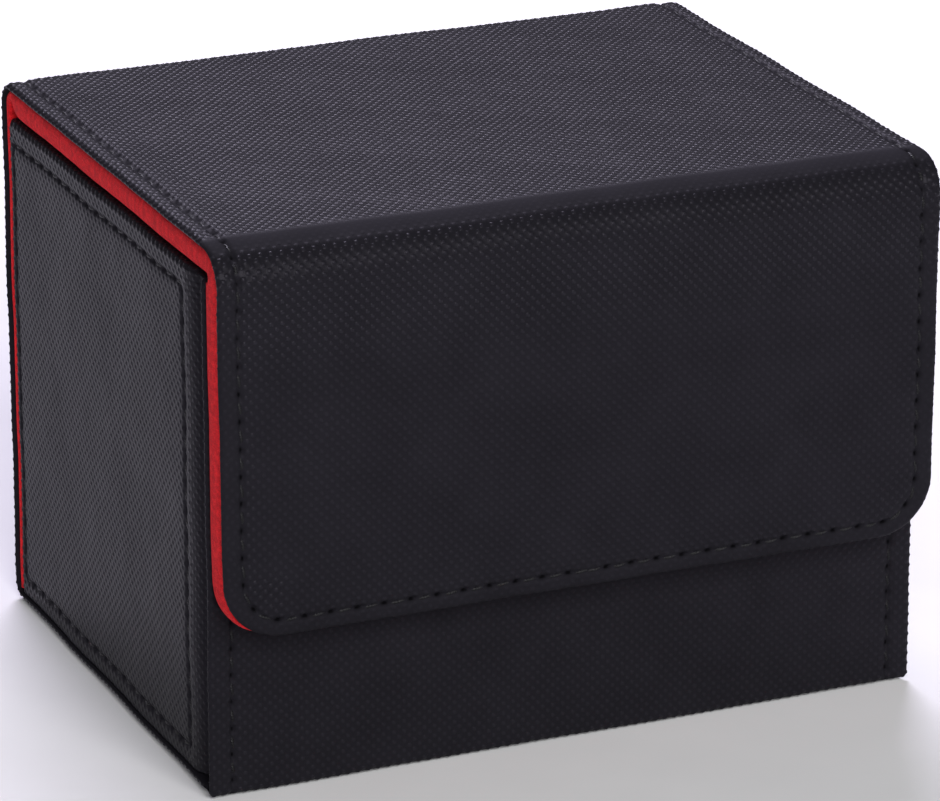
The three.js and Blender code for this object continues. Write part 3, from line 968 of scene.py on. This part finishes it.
back_lining = wrap_shell(
    "back_and_lid_lining",
    VELVET,
    back_lining_path,
    back_lining_border,
    lambda s: (SHEET, back_lining_depth(s)),
    laid=back_path.length - back_lining_path.length,
)
fold_blend(back_lining)
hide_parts("back_lining", "rear_hinge_lining", "lid_lining")


CORNER_SWELL = 0.7  # of the flap's lining at its lower corners


def flap_lining_border(s, below):
    """The lining swells past the leatherette half way round the flap's lower corners."""
    out = min(max((s - JOINT) / FOLD_REACH, 0), 1)
    swell = 0.0 if below is None else CORNER_SWELL * 4 * below * (1 - below)
    inset, crown = EDGE - 0.25 * out - swell, 0.9 - 0.3 * out
    return velvet_rings(SHEET, flap_lining_depth(s), inset, crown)


flap_lining = wrap_shell(
    "flap_lining_pad",
    VELVET,
    flap_path,
    flap_lining_border,
    lambda s: (SHEET, flap_lining_depth(s)),
    tongue=True,
    laid=back_path.length,
)
fold_blend(flap_lining)
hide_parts("front_hinge_lining", "flap_lining")


def lining_slab(node, axis, sign, corners):
    """A thin glued lining in a CAD lining's place. Its face points along sign on axis, and corners are the
    radii of its lower and upper corners."""
    other = [i for i in (X, Y, Z) if i != axis]
    low, high = span(node, axis)
    face = high if sign > 0 else low

    def place(a, b, depth):
        parts = {other[0]: a, other[1]: b, axis: face - sign * depth}
        return np.stack([parts[X], parts[Y], parts[Z]], -1)

    (a0, a1), (b0, b1) = span(node, other[0]), span(node, other[1])
    bottom, top = corners
    outline = [(a0, b0, bottom), (a1, b0, bottom), (a1, b1, top), (a0, b1, top)]
    return place, outline, high - low


for node, axis, sign in (
    ("base_lining", Z, 1),
    ("front_lining", Y, 1),
    ("left_side_lining", X, 1),
    ("right_side_lining", X, -1),
):
    place, outline, thickness = lining_slab(node, axis, sign, (0.4, 0.4))
    made = slab(f"{node}_sheet", VELVET, place, outline, thickness)
    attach(made, "case")
    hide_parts(node)
for node in ("front_divider", "rear_divider"):
    place, outline, thickness = lining_slab(node, Y, 1, (0.6, 8.0))
    made = slab(f"{node}_card", VELVET, place, outline, thickness, 0.7)
    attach(made, node)
    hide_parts(node)

# ---------------------------------------------------------------- material slots

for piece in [base, back, flap, front, *side_panels]:
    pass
for piece in [*seams, *side_seams]:
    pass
for node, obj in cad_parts.items():
    if not obj.hide_render:
        obj.data.materials.clear()
        obj.data.materials.append(METAL if node.endswith("_magnet") else BOARD)

# ---------------------------------------------------------------- camera, light and floor

AZIMUTH, ELEVATION, ROLL = math.radians(-23.15), math.radians(19.77), math.radians(-0.13)
DISTANCE = 0.8262  # metres
LENS, SENSOR = 213.4, 36.0
AIM_RIGHT, AIM_DOWN = 2.65, 3.56  # the box sits a little left of and above the picture's middle

level = Vector((math.cos(AZIMUTH), math.sin(AZIMUTH), 0))
ahead = Vector((math.sin(AZIMUTH), -math.cos(AZIMUTH), 0))
away = ahead * math.cos(ELEVATION) + Vector((0, 0, math.sin(ELEVATION)))
lift = away.cross(level)
right = level * math.cos(ROLL) + lift * math.sin(ROLL)
upward = lift * math.cos(ROLL) - level * math.sin(ROLL)
middle = Vector((0, (FRONT + BACK) / 2, TOP / 2)) * MM
stand = middle + away * DISTANCE
aim = middle + (right * AIM_RIGHT - upward * AIM_DOWN) * MM
back_axis = (stand - aim).normalized()
x_axis = upward.cross(back_axis).normalized()
y_axis = back_axis.cross(x_axis)
camera = bpy.data.objects.new("camera", bpy.data.cameras.new("camera"))
camera.data.lens, camera.data.sensor_width = LENS, SENSOR
camera.data.clip_start, camera.data.clip_end = 0.05, 20
camera.matrix_world = Matrix.Translation(stand) @ Matrix((x_axis, y_axis, back_axis)).transposed().to_4x4()
bpy.context.scene.collection.objects.link(camera)
bpy.context.scene.camera = camera


def lamp(name, place, target, size, power, color=(1.0, 1.0, 1.0)):
    light = bpy.data.lights.new(name, "AREA")
    light.shape, light.size, light.size_y, light.energy = "RECTANGLE", size[0], size[1], power
    light.color = color
    obj = bpy.data.objects.new(name, light)
    obj.location = place
    obj.rotation_mode = "QUATERNION"
    obj.rotation_quaternion = (Vector(target) - Vector(place)).to_track_quat("-Z", "Y")
    bpy.context.scene.collection.objects.link(obj)


centre = (0, 0, 0.04)
COOL = (1.0, 0.94, 1.16)
FILL, FILL_COLOR = 0.12, (1.0, 0.96, 1.1, 1.0)
lamp("overhead", (0.25, 0.9, 1.15), centre, (0.7, 0.5), 22, COOL)
lamp("left", (-1.2, 0.9, 0.9), centre, (0.5, 0.5), 1, COOL)
lamp("front", (-0.2, -1.9, 1.2), centre, (1.6, 1.2), 60)

world = bpy.data.worlds.new("studio")
world.use_nodes = True
backdrop = world.node_tree.nodes["Background"]
backdrop.inputs["Color"].default_value = FILL_COLOR
backdrop.inputs["Strength"].default_value = FILL
bpy.context.scene.world = world
bpy.context.scene.view_settings.view_transform = "Standard"

floor_mesh = bpy.data.meshes.new("floor")
REACH = 6.0  # metres of floor on each side
corners = [(-REACH, -REACH, 0), (REACH, -REACH, 0), (REACH, REACH, 0), (-REACH, REACH, 0)]
floor_mesh.from_pydata(corners, [], [(0, 1, 2, 3)])
floor = bpy.data.objects.new("floor", floor_mesh)
floor.location.z = -0.0004  # just under the bumps of the base
paper = Nodes("floor_paper")
tooth = paper.noise(paper.node("ShaderNodeTexCoord", 3), 60.0, 3.0, 0.5)
floor_mesh.materials.append(
    paper.finish(
        Base_Color=paper.ramp(tooth, (0.3, 0.71), (0.7, 0.73)),
        Roughness=0.9,
        Specular_IOR_Level=0.1,
    )
)
bpy.context.scene.collection.objects.link(floor)
floor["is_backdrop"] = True

boxes = {"cad": cad_bounds, "visual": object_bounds()}
{name: [list(corner) for corner in pair] for name, pair in boxes.items()}
